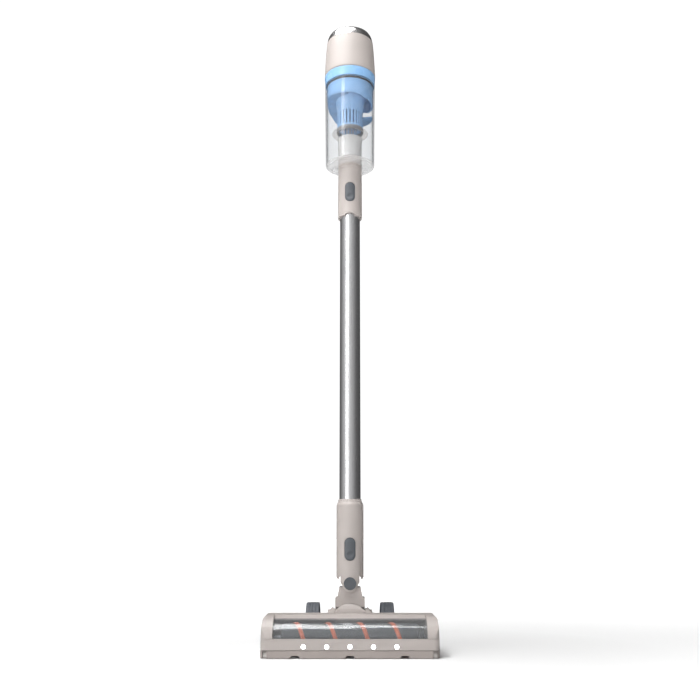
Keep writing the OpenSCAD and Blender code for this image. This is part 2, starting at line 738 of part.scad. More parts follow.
module cyclone_body() color(blue) on_axis() {
    ring_in = cyclone_r - 3;
    core_in = shroud_r - 3;
    ceiling = cyclone_z0 + 13;
    ring_z1 = bucket_z1 - seal_t - 2;
    // ring under the seal, the ceiling, the core that the shroud hangs from and the seal's collar
    rotate_extrude() polygon([
        [core_in, shroud_z1], [shroud_r, shroud_z1], [shroud_r, ceiling], [ring_in, ceiling],
        [ring_in, cyclone_z0], [cyclone_r, cyclone_z0], [cyclone_r, ring_z1], [ring_in, ring_z1],
        [ring_in, bucket_z1], [core_in, bucket_z1]
    ]);
    // helical guide vane, in steps that descend around the core
    for (i = [0 : vane_steps - 1]) {
        z = cyclone_z0 - 4 - i * vane_drop;
        inner = z < shroud_z1 ? shroud_r + gap : shroud_r - 1;
        intersection() {
            pipe(cyclone_r - 2 - i * vane_taper, inner + i * vane_taper, z, z + vane_t);
            rotate([0, 0, 150 + i * vane_turn]) translate([0, 0, z - 1]) linear_extrude(vane_t + 2)
                polygon([[0, 0], [2 * bucket_r, 0], 2 * bucket_r * [cos(vane_turn + 2), sin(vane_turn + 2)]]);
        }
    }
}

module seal_ring() color([0.08, 0.08, 0.09]) on_axis()
    pipe(bucket_r - bucket_wall - 0.35, cyclone_r - 3, bucket_z1 - seal_t - 1.5, bucket_z1 - 1.5);

module shroud() color(blue) on_axis() difference() {
    pipe(shroud_r - 0.2, shroud_r - 2.2, shroud_z0, shroud_z1);
    for (i = [0 : slot_count - 1]) rotate([0, 0, 360 / slot_count * i])
        translate([0, -1.3, shroud_z0 + 3]) cube([2 * shroud_r, 2.6, shroud_z1 - shroud_z0 - 5]);
}

module skirt_disc() color([0.75, 0.73, 0.72, 0.6]) on_axis() difference() {
    union() {
        translate([0, 0, shroud_z0 - 8]) cylinder(r = shroud_r, h = 8);
        translate([0, 0, shroud_z0 - 10]) cylinder(r1 = 32.5, r2 = 31.5, h = 2.4);
    }
    translate([0, 0, shroud_z0 - 11]) cylinder(r = shroud_r - 2.4, h = 20);
}

module filter_frame() color(blue) on_axis() {
    difference() {
        rotate_extrude() polygon([
            [0, filter_z0], [bucket_r + 0.3, filter_z0], [motor_r, filter_z0 + rim_h], [0, filter_z0 + rim_h]
        ]);
        translate([0, 0, filter_z0 - 1]) cylinder(r = shroud_r - 3, h = 40);
        translate([0, 0, filter_z0 + 3]) cylinder(r = bucket_r - 4, h = 40);
    }
}

module filter_pleats() color([0.93, 0.92, 0.88]) on_axis() difference() {
    pleated_ring(filter_z0 + 3, rim_h - 3.2);
    translate([0, 0, filter_z0]) cylinder(r = shroud_r, h = 40);
}

// Pleated ring with a zigzag edge
module pleated_ring(z, h) {
    count = 36;
    translate([0, 0, z]) linear_extrude(h) polygon([
        for (i = [0 : 2 * count - 1]) (bucket_r - 5 - (i % 2) * 3)
            * [cos(180 / count * i), sin(180 / count * i)]
    ]);
}

// ---- motor unit ----

// Outer outline of the motor housing, from its foot to the band
function housing_line(inset) = [
    [motor_r + 0.2 - inset, motor_z0], [motor_r - 0.3 - inset, motor_z0 + 0.15 * motor_h],
    [motor_r - 1.2 - inset, motor_z0 + 0.36 * motor_h], [motor_r - 2.4 - inset, motor_z0 + 0.6 * motor_h],
    [motor_r - 3.9 - inset, motor_z1 - band_h]
];

module motor_solid(inset) {
    rotate_extrude() polygon(concat(
        [[0, motor_z0]], housing_line(inset), [[0, motor_z1 - band_h]]
    ));
}

module motor_housing() color(taupe) on_axis() difference() {
    motor_solid(0);
    rotate_extrude() polygon(concat(
        [[0, motor_z0 - 1], [motor_r - 3, motor_z0 - 1]], housing_line(3), [[0, motor_z1 - band_h + 1]]
    ));
    // openings for the handle and the cables
    y_rod(7, 20, 70, 0, bridge_z - 14);
}

module chrome_band() color([0.9, 0.9, 0.92]) on_axis() difference() {
    rotate_extrude() polygon([
        [0, motor_z1 - band_h], [motor_r - 3.9, motor_z1 - band_h], [motor_r - 5, motor_z1 - 0.45 * band_h],
        [motor_r - 7, motor_z1 - 0.15 * band_h], [motor_r - 9, motor_z1], [0, motor_z1]
    ]);
    translate([0, 0, motor_z1 - band_h - 1]) cylinder(r = motor_r - 10, h = 40);
    translate([-handle_w / 2, 10, motor_z1 - band_h - 1]) cube([handle_w, 80, 80]);
}

module top_panel() color([0.16, 0.17, 0.18]) on_axis() difference() {
    translate([0, 0, motor_z1 - 4]) cylinder(r = motor_r - 10.2, h = 4);
    y_rod(grip_r + 0.2, 20, 60, 0, bridge_z - 10);
    translate([-handle_w / 2, 10, motor_z1 - band_h - 1]) cube([handle_w, 80, 80]);
    translate([0, -12, motor_z1 - 5]) cylinder(r = 9 + gap, h = 10);
}

module power_button() color([0.5, 0.52, 0.55]) on_axis()
    translate([0, -12, motor_z1 - 2.5]) cylinder(r = 9, h = 2.5);

module suction_motor() color([0.55, 0.55, 0.57]) on_axis() {
    translate([0, 0, motor_z0 + 24]) cylinder(r = 27, h = 30);
    translate([0, 0, motor_z0 + 16]) cylinder(r = 2.5, h = 40);
    pipe(motor_r - 5.4, 27, motor_z0 + 30, motor_z0 + 36);
}

module impeller() color([0.85, 0.86, 0.88]) on_axis() difference() {
    union() {
        translate([0, 0, motor_z0 + 6]) cylinder(r = 30, h = 2);
        translate([0, 0, motor_z0 + 6]) cylinder(r = 7, h = 14);
        for (i = [0 : 8]) rotate([0, 0, 40 * i]) translate([5, -0.8, motor_z0 + 6]) cube([24, 1.6, 12]);
    }
    translate([0, 0, motor_z0 + 5]) cylinder(r = 2.5 + run_gap, h = 40);
}

// Centre line of the handle: back from the housing, down the grip and into the dock
function loop_points() = concat(
    [[motor_r - 12, bridge_z - 16], [motor_r + 6, bridge_z - 13]],
    arc([grip_y - loop_bend, bridge_z - 12 - loop_bend], loop_bend, 80, 0, 6),
    [[grip_y - 5, dock_z1 - 8]]
);

// Side outline of the battery dock, less an inset
function dock_line(inset) = [
    [motor_r - 2, battery_z1 + gap + inset], [motor_r - 2, dock_z1 + 2 - inset],
    [grip_y, dock_z1 - inset], [handle_back - inset, dock_z1 - 12],
    [handle_back - inset, battery_z1 + gap + inset]
];

// Solid of the handle's loop and the battery dock, less an inset
module handle_solid(inset) {
    difference() {
        union() {
            x_bar(handle_w - 2 * inset) stroke(loop_points(), grip_r - inset);
            x_bar(handle_w - 2 * inset) polygon(dock_line(inset));
        }
        translate([0, 0, bucket_z0]) cylinder(r = motor_r + 1.4, h = filter_z0 + rim_h + 1.2 - bucket_z0);
    }
}

// One half of the handle, s is -1 on the left and 1 on the right
module handle_half(s) {
    difference() {
        handle_solid(0);
        handle_solid(handle_wall);
        translate([s > 0 ? -200 : 0, -200, 0]) cube([200, 600, 2000]);
        motor_solid(0);
        translate([0, 0, motor_z1 - band_h - eps]) cylinder(r = motor_r - 3.8, h = 100);
        // bucket button and charging socket
        x_rod(6 + gap, 100, battery_y0 + 12, battery_z1 + 16);
        y_rod(socket_r + 3, handle_back - 14, handle_back + 2, 0, battery_z1 + 14);
    }
}

module handle_left() color(taupe) on_axis() handle_half(-1);

module handle_right() color(taupe) on_axis() handle_half(1);

module main_board() color([0.1, 0.35, 0.2]) on_axis()
    translate([-10, battery_y0 + 26, battery_z1 + 6]) cube([20, 1.6, 24]);

module bucket_button() color(dark) on_axis()
    x_rod(6, handle_w, battery_y0 + 12, battery_z1 + 16);

module charge_socket() color([0.1, 0.1, 0.11]) on_axis() difference() {
    y_rod(socket_r + 3, handle_back - 12, handle_back, 0, battery_z1 + 14);
    y_rod(socket_r, handle_back - 10, handle_back + 1, 0, battery_z1 + 14);
}

// ---- battery ----

module battery_case() color(taupe) on_axis() difference() {
    translate([0, (battery_y0 + battery_y1) / 2, battery_z0]) linear_extrude(battery_z1 - battery_z0)
        polygon(rounded(battery_w, battery_y1 - battery_y0, 8));
    translate([0, (battery_y0 + battery_y1) / 2, battery_z0 + 2]) linear_extrude(battery_z1 - battery_z0 - 4)
        polygon(rounded(battery_w - 4, battery_y1 - battery_y0 - 4, 6));
    translate([-9 - gap, battery_y1 - 3, battery_z1 - 26 - gap]) cube([18 + 2 * gap, 8, 16 + 2 * gap]);
}

module battery_cells() color([0.2, 0.45, 0.35]) on_axis() {
    for (s = [-1, 1], i = [0 : 2])
        translate([s * (battery_w / 4 - 1), battery_y0 + 13 + i * 19, battery_z0 + 8]) cylinder(r = 9, h = 65);
}

module battery_latch() color([0.5, 0.52, 0.55]) on_axis()
    translate([-9, battery_y1 - 2.6, battery_z1 - 26]) cube([18, 2.6, 16]);

head_shell();
sole_plate();
brush_window();
light_bar();
led_board();
led_lenses();
end_cap_left();
end_cap_right();
hub_cover();
brush_motor();
drive_belt();
axle_pins();
glide_strip();
head_screws();
brush_core();
brush_nap();
bristle_strip();
brush_pulley();
motor_pulley();
brush_latch();
rear_wheel_left();
rear_wheel_right();
front_roller_left();
front_roller_right();
elbow();
airway_hose();
neck_connector();
swivel_pins();
nozzle_button();
nozzle_button_spring();
wand_tube();
lower_collar();
upper_collar();
wand_button();
wand_button_spring();
dust_bucket();
bucket_floor();
inlet_neck();
inlet_tube();
inlet_flap();
cyclone_body();
shroud();
skirt_disc();
seal_ring();
filter_frame();
filter_pleats();
motor_housing();
chrome_band();
top_panel();
suction_motor();
impeller();
handle_left();
handle_right();
main_board();
power_button();
bucket_button();
battery_case();
battery_cells();
battery_latch();
charge_socket();
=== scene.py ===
import math
import random

import bmesh
import bpy
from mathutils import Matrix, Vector


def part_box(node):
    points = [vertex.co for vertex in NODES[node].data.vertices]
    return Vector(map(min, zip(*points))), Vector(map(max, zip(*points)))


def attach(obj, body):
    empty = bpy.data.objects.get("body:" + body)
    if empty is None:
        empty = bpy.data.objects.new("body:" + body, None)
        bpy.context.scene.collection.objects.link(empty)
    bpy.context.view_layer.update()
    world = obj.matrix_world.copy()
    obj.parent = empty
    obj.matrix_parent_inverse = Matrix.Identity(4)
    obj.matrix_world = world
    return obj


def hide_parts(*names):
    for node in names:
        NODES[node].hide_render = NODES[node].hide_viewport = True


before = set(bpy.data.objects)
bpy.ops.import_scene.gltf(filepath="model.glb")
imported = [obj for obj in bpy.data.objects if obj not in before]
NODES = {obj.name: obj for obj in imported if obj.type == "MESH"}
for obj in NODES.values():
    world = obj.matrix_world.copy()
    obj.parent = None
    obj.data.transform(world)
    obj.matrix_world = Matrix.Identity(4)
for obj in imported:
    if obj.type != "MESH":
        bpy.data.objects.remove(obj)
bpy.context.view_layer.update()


def low(node):
    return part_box(node)[0]


def high(node):
    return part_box(node)[1]


def centre(node):
    return (low(node) + high(node)) / 2


def half_width(node):
    """Half of a node's extent in x, which is the radius of a turned piece."""
    return (high(node).x - low(node).x) / 2


AXIS = centre("wand_tube")          # the wand's axis, in x and y
BRUSH = centre("brush_nap")

# the viewpoint, from the wand's axis and the floor
EYE_BACK = 1.337
EYE_HEIGHT = 0.189
EYE_PITCH = 12.5
LENS = 41.14
STAGE_SIZE = 12

# ---------------------------------------------------------------- materials


class Shader:
    """A node tree with a Principled shader, and short ways to add texture to it."""

    def __init__(self, name, color, roughness, metallic=0.0, coat=0.0, sheen=0.0):
        self.mat = bpy.data.materials.new(name)
        self.mat.use_nodes = True
        self.nodes = self.mat.node_tree.nodes
        self.links = self.mat.node_tree.links
        self.bsdf = self.nodes["Principled BSDF"]
        self.set("Base Color", (*color, 1))
        self.set("Roughness", roughness)
        self.set("Metallic", metallic)
        self.set("Coat Weight", coat)
        self.set("Sheen Weight", sheen)
        self.color = color
        self.roughness = roughness
        self.place = self.nodes.new("ShaderNodeTexCoord").outputs["Object"]

    def set(self, socket, value):
        self.bsdf.inputs[socket].default_value = value

    def link(self, a, b):
        self.links.new(a, b)

    def noise(self, scale, detail=3.0, stretch=(1, 1, 1), roughness=0.55):
        mapping = self.nodes.new("ShaderNodeMapping")
        mapping.inputs["Scale"].default_value = stretch
        self.link(self.place, mapping.inputs["Vector"])
        tex = self.nodes.new("ShaderNodeTexNoise")
        tex.inputs["Scale"].default_value = scale
        tex.inputs["Detail"].default_value = detail
        tex.inputs["Roughness"].default_value = roughness
        self.link(mapping.outputs["Vector"], tex.inputs["Vector"])
        return tex.outputs["Fac"]

    def ramp(self, fac, stops):
        ramp = self.nodes.new("ShaderNodeValToRGB")
        elements = ramp.color_ramp.elements
        while len(elements) < len(stops):
            elements.new(0.5)
        for element, (place, color) in zip(elements, stops):
            element.position = place
            element.color = (*color, 1) if len(color) == 3 else color
        self.link(fac, ramp.inputs["Fac"])
        return ramp.outputs["Color"]

    def vary_color(self, fac, amount):
        """The colour wanders by a share either side."""
        dark = tuple(c * (1 - amount) for c in self.color)
        light = tuple(min(1, c * (1 + amount)) for c in self.color)
        self.link(self.ramp(fac, [(0.3, dark), (0.7, light)]), self.bsdf.inputs["Base Color"])

    def vary_roughness(self, fac, amount):
        spread = self.nodes.new("ShaderNodeMapRange")
        spread.inputs["From Min"].default_value = 0.3
        spread.inputs["From Max"].default_value = 0.7
        spread.inputs["To Min"].default_value = self.roughness - amount
        spread.inputs["To Max"].default_value = self.roughness + amount
        self.link(fac, spread.inputs["Value"])
        self.link(spread.outputs["Result"], self.bsdf.inputs["Roughness"])

    def bump(self, height, depth, strength=0.5):
        """Relief of a depth in metres."""
        bump = self.nodes.new("ShaderNodeBump")
        bump.inputs["Strength"].default_value = strength
        bump.inputs["Distance"].default_value = depth
        self.link(height, bump.inputs["Height"])
        self.link(bump.outputs["Normal"], self.bsdf.inputs["Normal"])


def moulded(name, color, roughness, grain=1500, coat=0.0):
    """Moulded plastic with a fine spark-eroded grain and faint sink marks."""
    s = Shader(name, color, roughness, coat=coat)
    s.vary_color(s.noise(14, 2), 0.03)
    s.vary_roughness(s.noise(60, 4), 0.06)
    s.bump(s.noise(grain, 2), 0.00006, 0.35)
    return s.mat


def metal(name, color, roughness, stretch, scale=900):
    """Metal with drawn or turned lines."""
    s = Shader(name, color, roughness, metallic=1.0)
    lines = s.noise(scale, 3, stretch)
    s.vary_color(lines, 0.04)
    s.vary_roughness(lines, 0.07)
    s.bump(lines, 0.00004, 0.25)
    return s.mat


def clear(name, tint, edge, gloss=0.03, haze=0.0):
    """Clear moulded plastic: see-through face on, greyer and shinier where seen edge on."""
    s = Shader(name, tint, gloss)
    s.set("IOR", 1.5)
    s.vary_roughness(s.noise(40, 2), 0.02)
    out = s.nodes["Material Output"]
    see = s.nodes.new("ShaderNodeBsdfTransparent")
    edge_on = s.nodes.new("ShaderNodeLayerWeight")
    edge_on.inputs["Blend"].default_value = 0.5
    s.link(s.ramp(edge_on.outputs["Facing"], [(0.0, tint), (0.7, tint), (0.97, edge)]), see.inputs["Color"])
    shine = s.ramp(edge_on.outputs["Facing"], [(0.0, (0.035,) * 3), (0.55, (0.06,) * 3), (0.82, (0.25,) * 3),
                                               (1.0, (0.6,) * 3)])
    glossy = s.nodes.new("ShaderNodeBsdfGlossy")
    glossy.inputs["Roughness"].default_value = gloss + 0.04
    gloss_mix = s.nodes.new("ShaderNodeMixShader")
    s.link(shine, gloss_mix.inputs["Fac"])
    s.link(see.outputs["BSDF"], gloss_mix.inputs[1])
    s.link(glossy.outputs["BSDF"], gloss_mix.inputs[2])
    haze_mix = s.nodes.new("ShaderNodeMixShader")
    haze_mix.inputs["Fac"].default_value = haze
    s.link(gloss_mix.outputs["Shader"], haze_mix.inputs[1])
    s.link(s.bsdf.outputs["BSDF"], haze_mix.inputs[2])
    s.link(haze_mix.outputs["Shader"], out.inputs["Surface"])
    return s.mat


def glow(name, color, strength):
    s = Shader(name, color, 0.3)
    s.vary_roughness(s.noise(200, 2), 0.05)
    s.set("Emission Color", (*color, 1))
    s.set("Emission Strength", strength)
    return s.mat


def pile(name, color, roughness=0.95, depth=0.0006):
    """Short dense pile or bristles."""
    s = Shader(name, color, roughness, sheen=0.4)
    tufts = s.noise(900, 4)
    s.vary_color(tufts, 0.35)
    s.bump(tufts, depth, 0.8)
    return s.mat


def rubber(name, color):
    s = Shader(name, color, 0.6)
    s.vary_color(s.noise(80, 3), 0.12)
    s.vary_roughness(s.noise(160, 3), 0.08)
    s.bump(s.noise(1100, 2), 0.00008, 0.4)
    return s.mat


def board(name):
    """Circuit board: solder mask with copper lines under it."""
    s = Shader(name, (0.02, 0.16, 0.07), 0.35)
    s.vary_color(s.noise(300, 1, (1, 1, 0.05)), 0.4)
    s.bump(s.noise(300, 1, (1, 1, 0.05)), 0.00005, 0.3)
    return s.mat


def paper(name):
    s = Shader(name, (0.80, 0.78, 0.72), 0.9)
    fibres = s.noise(700, 4, (1, 1, 0.2))
    s.vary_color(fibres, 0.06)
    s.bump(fibres, 0.0001, 0.5)
    return s.mat


TAUPE = moulded("taupe_plastic", (0.415, 0.375, 0.355), 0.42)
TAUPE_DEEP = moulded("taupe_plastic_deep", (0.33, 0.29, 0.27), 0.5)
DARK = moulded("dark_plastic", (0.085, 0.093, 0.105), 0.42)
DARK_GLOSS = moulded("dark_gloss", (0.03, 0.033, 0.038), 0.16, 600, coat=0.4)
PALE = moulded("pale_plastic", (0.62, 0.59, 0.56), 0.45)
BLUE = moulded("blue_plastic", (0.24, 0.44, 0.72), 0.28, 700, coat=0.3)
# the same blue made darker: painted shade for the cyclone ramp's downward face
BLUE_PAINTED_SHADE = moulded("blue_plastic_painted_shade", (0.10, 0.24, 0.45), 0.32, 700, coat=0.3)
ALUMINIUM = metal("satin_aluminium", (0.80, 0.80, 0.81), 0.30, (1, 1, 0.02))
STEEL = metal("turned_steel", (0.55, 0.55, 0.57), 0.35, (0.05, 1, 1))
CHROME = metal("bright_chrome", (0.62, 0.61, 0.61), 0.22, (1, 1, 0.3), 300)
RUBBER = rubber("black_rubber", (0.018, 0.018, 0.02))
TYRE = rubber("tyre_rubber", (0.085, 0.092, 0.105))
NAP = pile("brush_nap_pile", (0.035, 0.038, 0.042))
BRISTLE = pile("orange_bristles", (0.55, 0.105, 0.03), 0.8, 0.0008)
FELT = pile("glide_velvet", (0.06, 0.06, 0.065))
CLEAR = clear("clear_plastic", (0.965, 0.97, 0.975), (0.45, 0.46, 0.48), haze=0.03)
WINDOW = clear("window_plastic", (0.93, 0.94, 0.95), (0.5, 0.52, 0.55), haze=0.05)
FROSTED = clear("frosted_plastic", (0.90, 0.90, 0.90), (0.5, 0.5, 0.5), 0.25, haze=0.22)
SKIRT = clear("skirt_plastic", (0.90, 0.885, 0.87), (0.30, 0.25, 0.23), 0.05, haze=0.05)
MILKY = clear("milky_plastic", (0.88, 0.87, 0.86), (0.35, 0.34, 0.33), 0.12, haze=0.45)
GREY = moulded("grey_plastic", (0.17, 0.18, 0.20), 0.4)
LED = glow("led_light", (0.95, 0.98, 1.0), 14.0)
LED_SOFT = glow("level_light", (0.75, 0.9, 1.0), 1.5)
BOARD = board("circuit_board")
PAPER = paper("filter_paper")
CELLS = moulded("cell_wrap", (0.05, 0.30, 0.22), 0.3, 300, coat=0.3)

# ---------------------------------------------------------------- mesh helpers


def shade(obj, mat, angle=38):
    """Material, and smooth shading that keeps edges sharper than the angle."""
    obj.data.materials.clear()
    obj.data.materials.append(mat)
    obj.data.shade_smooth()
    obj.data.set_sharp_from_angle(angle=math.radians(angle))


def make(name, bm, mat, body, angle=38):
    mesh = bpy.data.meshes.new(name)
    bmesh.ops.recalc_face_normals(bm, faces=bm.faces)
    bm.to_mesh(mesh)
    bm.free()
    obj = bpy.data.objects.new(name, mesh)
    bpy.context.scene.collection.objects.link(obj)
    shade(obj, mat, angle)
    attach(obj, body)
    return obj


def bevel(obj, width, segments=3, angle=35):
    """Rounds the edges of an object by a width in metres."""
    mod = obj.modifiers.new("Edges", "BEVEL")
    mod.width = width
    mod.segments = segments
    mod.limit_method = "ANGLE"
    mod.angle_limit = math.radians(angle)
    mod.harden_normals = True
    mod.use_clamp_overlap = True


def rounded(points):
    """An outline from corners (a, b, fillet radius): each corner becomes an arc."""
    out = []
    count = len(points)
    for i, (a, b, r) in enumerate(points):
        here = Vector((a, b))
        before = Vector(points[i - 1][:2])
        after = Vector(points[(i + 1) % count][:2])
        if r <= 0 or i in (0, count - 1):
            out.append(here)
            continue
        u, v = (before - here).normalized(), (after - here).normalized()
        half = u.angle(v) / 2
        if half > math.radians(88):
            out.append(here)
            continue
        reach = min(r / math.tan(half), 0.49 * (before - here).length, 0.49 * (after - here).length)
        r = reach * math.tan(half)
        mid = here + (u + v).normalized() * (r / math.sin(half))
        start, end = here + u * reach - mid, here + v * reach - mid
        turn = math.atan2(start.x * end.y - start.y * end.x, start.dot(end))
        steps = max(2, math.ceil(abs(turn) / math.radians(9)))
        for k in range(steps + 1):
            w = turn * k / steps
            out.append(mid + Vector((
                start.x * math.cos(w) - start.y * math.sin(w), start.x * math.sin(w) + start.y * math.cos(w)
            )))
    return out


def curve_through(points, steps=6):
    """A smooth line through points, by Catmull-Rom."""
    pts = [Vector(p) for p in points]
    pts = [2 * pts[0] - pts[1]] + pts + [2 * pts[-1] - pts[-2]]
    out = []
    for i in range(1, len(pts) - 2):
        a, b, c, d = pts[i - 1:i + 3]
        for k in range(steps):
            t = k / steps
            out.append(0.5 * (2 * b + (c - a) * t + (2 * a - 5 * b + 4 * c - d) * t * t
                              + (3 * b - a - 3 * c + d) * t ** 3))
    out.append(pts[-2])
    return out


def lathe(name, profile, mat, body, segments=96, closed=True, about=None, axis="Z", angle=38):
    """Turns a profile of (radius, height) around an axis. A closed profile is a ring."""
    about = about or AXIS
    bm = bmesh.new()
    rows = []
    for r, h in profile:
        row = []
        count = segments if r > 1e-6 else 1
        for k in range(count):
            w = 2 * math.pi * k / segments
            a, b = r * math.cos(w), r * math.sin(w)
            place = (about.x + a, about.y + b, h) if axis == "Z" else \
                (h, about.y + a, about.z + b) if axis == "X" else (about.x + a, h, about.z + b)
            row.append(bm.verts.new(place))
        rows.append(row)
    pairs = list(zip(rows, rows[1:]))
    if closed:
        pairs.append((rows[-1], rows[0]))
    for one, two in pairs:
        if len(one) == 1 and len(two) == 1:
            continue
        for k in range(segments):
            n = (k + 1) % segments
            ring = [one[k % len(one)], one[n % len(one)], two[n % len(two)], two[k % len(two)]]
            bm.faces.new(list(dict.fromkeys(ring)))
    return make(name, bm, mat, body, angle)


def plate(name, outline, lo, hi, plane, mat, body, edge=0.0, angle=38):
    """A solid from an outline in a plane (XY, XZ or YZ) between two levels, with rounded edges."""
    def place(a, b, level):
        return {"XY": (a, b, level), "XZ": (a, level, b), "YZ": (level, a, b)}[plane]
    bm = bmesh.new()
    bottom = [bm.verts.new(place(p[0], p[1], lo)) for p in outline]
    top = [bm.verts.new(place(p[0], p[1], hi)) for p in outline]
    bm.faces.new(bottom[::-1])
    bm.faces.new(top)
    count = len(outline)
    for k in range(count):
        n = (k + 1) % count
        bm.faces.new([bottom[k], bottom[n], top[n], top[k]])
    obj = make(name, bm, mat, body, angle)
    if edge:
        bevel(obj, edge)
    return obj


def loft(name, rings, mat, body, caps=True, angle=50):
    """A skin over rings of the same number of points."""
    bm = bmesh.new()
    rows = [[bm.verts.new(p) for p in ring] for ring in rings]
    count = len(rows[0])
    for one, two in zip(rows, rows[1:]):
        for k in range(count):
            n = (k + 1) % count
            bm.faces.new([one[k], one[n], two[n], two[k]])
    if caps:
        bm.faces.new(rows[0][::-1])
        bm.faces.new(rows[-1])
    return make(name, bm, mat, body, angle)


def superellipse(half_a, half_b, power=2.6, count=40):
    out = []
    for k in range(count):
        w = 2 * math.pi * k / count
        c, s = math.cos(w), math.sin(w)
        out.append((half_a * math.copysign(abs(c) ** (2 / power), c),
                    half_b * math.copysign(abs(s) ** (2 / power), s)))
    return out


def keep(node, mat, width=0.0005, segments=2, angle=38):
    """A CAD node that stays, with softened edges and its own material."""
    obj = NODES[node]
    shade(obj, mat, angle)
    if width:
        bevel(obj, width, segments)
    return obj


# ---------------------------------------------------------------- camera, light and floor


def build_stage():
    camera_data = bpy.data.cameras.new("camera")
    camera_data.sensor_width = 36
    camera_data.lens = LENS
    camera_data.clip_end = 60
    camera = bpy.data.objects.new("camera", camera_data)
    bpy.context.scene.collection.objects.link(camera)
    camera.location = (0, AXIS.y - EYE_BACK, EYE_HEIGHT)
    camera.rotation_euler = (math.radians(90 + EYE_PITCH), 0, 0)
    bpy.context.scene.camera = camera

    world = bpy.data.worlds.new("studio")
    bpy.context.scene.world = world
    world.use_nodes = True
    nodes, links = world.node_tree.nodes, world.node_tree.links
    background = nodes["Background"]
    toward = nodes.new("ShaderNodeVectorMath")
    toward.operation = "DOT_PRODUCT"
    toward.inputs[1].default_value = Vector((-0.42, -0.86, 0.28)).normalized()
    links.new(nodes.new("ShaderNodeTexCoord").outputs["Generated"], toward.inputs[0])
    spread = nodes.new("ShaderNodeMapRange")
    spread.inputs["From Min"].default_value = -1
    links.new(toward.outputs["Value"], spread.inputs["Value"])
    ramp = nodes.new("ShaderNodeValToRGB")
    stops = ramp.color_ramp.elements
    stops.new(0.5)
    stops.new(0.8)
    for stop, (place, level) in zip(stops, [(0.0, 0.10), (0.5, 0.20), (0.8, 0.62), (1.0, 1.0)]):
        stop.position = place
        stop.color = (level, level, level, 1)
    links.new(spread.outputs["Result"], ramp.inputs["Fac"])
    links.new(ramp.outputs["Color"], background.inputs["Color"])
    background.inputs["Strength"].default_value = 0.62

    def area(name, place, target, size, size_y, power):
        data = bpy.data.lights.new(name, "AREA")
        data.shape = "RECTANGLE"
        data.size, data.size_y = size, size_y
        data.energy = power
        obj = bpy.data.objects.new(name, data)
        bpy.context.scene.collection.objects.link(obj)
        obj.location = place
        aim = Vector(target) - Vector(place)
        obj.rotation_euler = aim.to_track_quat("-Z", "Y").to_euler()

    area("key", (-1.1, -1.7, 0.9), (0, 0, 0.55), 0.5, 2.2, 15)
    area("overhead", (-0.5, -0.5, 2.4), (0, 0, 0), 1.5, 1.3, 62)

    def sheet(name, corners, shader):
        bm = bmesh.new()
        bm.faces.new([bm.verts.new(c) for c in corners])
        mesh = bpy.data.meshes.new(name)
        bm.to_mesh(mesh)
        bm.free()
        obj = bpy.data.objects.new(name, mesh)
        bpy.context.scene.collection.objects.link(obj)
        obj.data.materials.append(shader.mat)
        return obj

    paint = Shader("floor_paint", (0.85, 0.85, 0.85), 0.7)
    paint.vary_roughness(paint.noise(3, 2), 0.03)
    paint.set("Emission Color", (1, 1, 1, 1))
    # the floor's glow falls to none near the middle: painted shade on the floor under the vacuum
    reach = paint.nodes.new("ShaderNodeVectorMath")
    reach.operation = "LENGTH"
    stretch = paint.nodes.new("ShaderNodeMapping")
    stretch.inputs["Scale"].default_value = (0.55, 1, 1)
    paint.link(paint.place, stretch.inputs["Vector"])
    paint.link(stretch.outputs["Vector"], reach.inputs[0])
    glow_with_painted_shade = paint.nodes.new("ShaderNodeMapRange")
    glow_with_painted_shade.inputs["From Min"].default_value = 0.12
    glow_with_painted_shade.inputs["From Max"].default_value = 1.3
    glow_with_painted_shade.inputs["To Min"].default_value = 0.0
    glow_with_painted_shade.inputs["To Max"].default_value = 1.0
    paint.link(reach.outputs["Value"], glow_with_painted_shade.inputs["Value"])
    paint.link(glow_with_painted_shade.outputs["Result"], paint.bsdf.inputs["Emission Strength"])
    far = STAGE_SIZE
    floor = sheet("floor", [(-far, -far, 0), (far, -far, 0), (far, far, 0), (-far, far, 0)], paint)
    floor.visible_glossy = False
    wall = Shader("backdrop_paint", (0, 0, 0), 1)
    wall.vary_roughness(wall.noise(2, 2), 0.02)
    wall.set("Emission Color", (1, 1, 1, 1))
    wall.set("Emission Strength", 1.05)
    below = -0.01
    for name, (x0, y0), (x1, y1) in (("backdrop_back", (-far, far), (far, far)),
                                     ("backdrop_front", (-far, -far), (far, -far)),
                                     ("backdrop_left", (-far, -far), (-far, far)),
                                     ("backdrop_right", (far, -far), (far, far))):
        back = sheet(name, [(x0, y0, below), (x1, y1, below), (x1, y1, far), (x0, y0, far)], wall)
        back.visible_diffuse = back.visible_glossy = back.visible_shadow = False
    bpy.context.scene.view_settings.view_transform = "Standard"
    bpy.context.scene.cycles.transparent_max_bounces = 32


# ---------------------------------------------------------------- hand unit


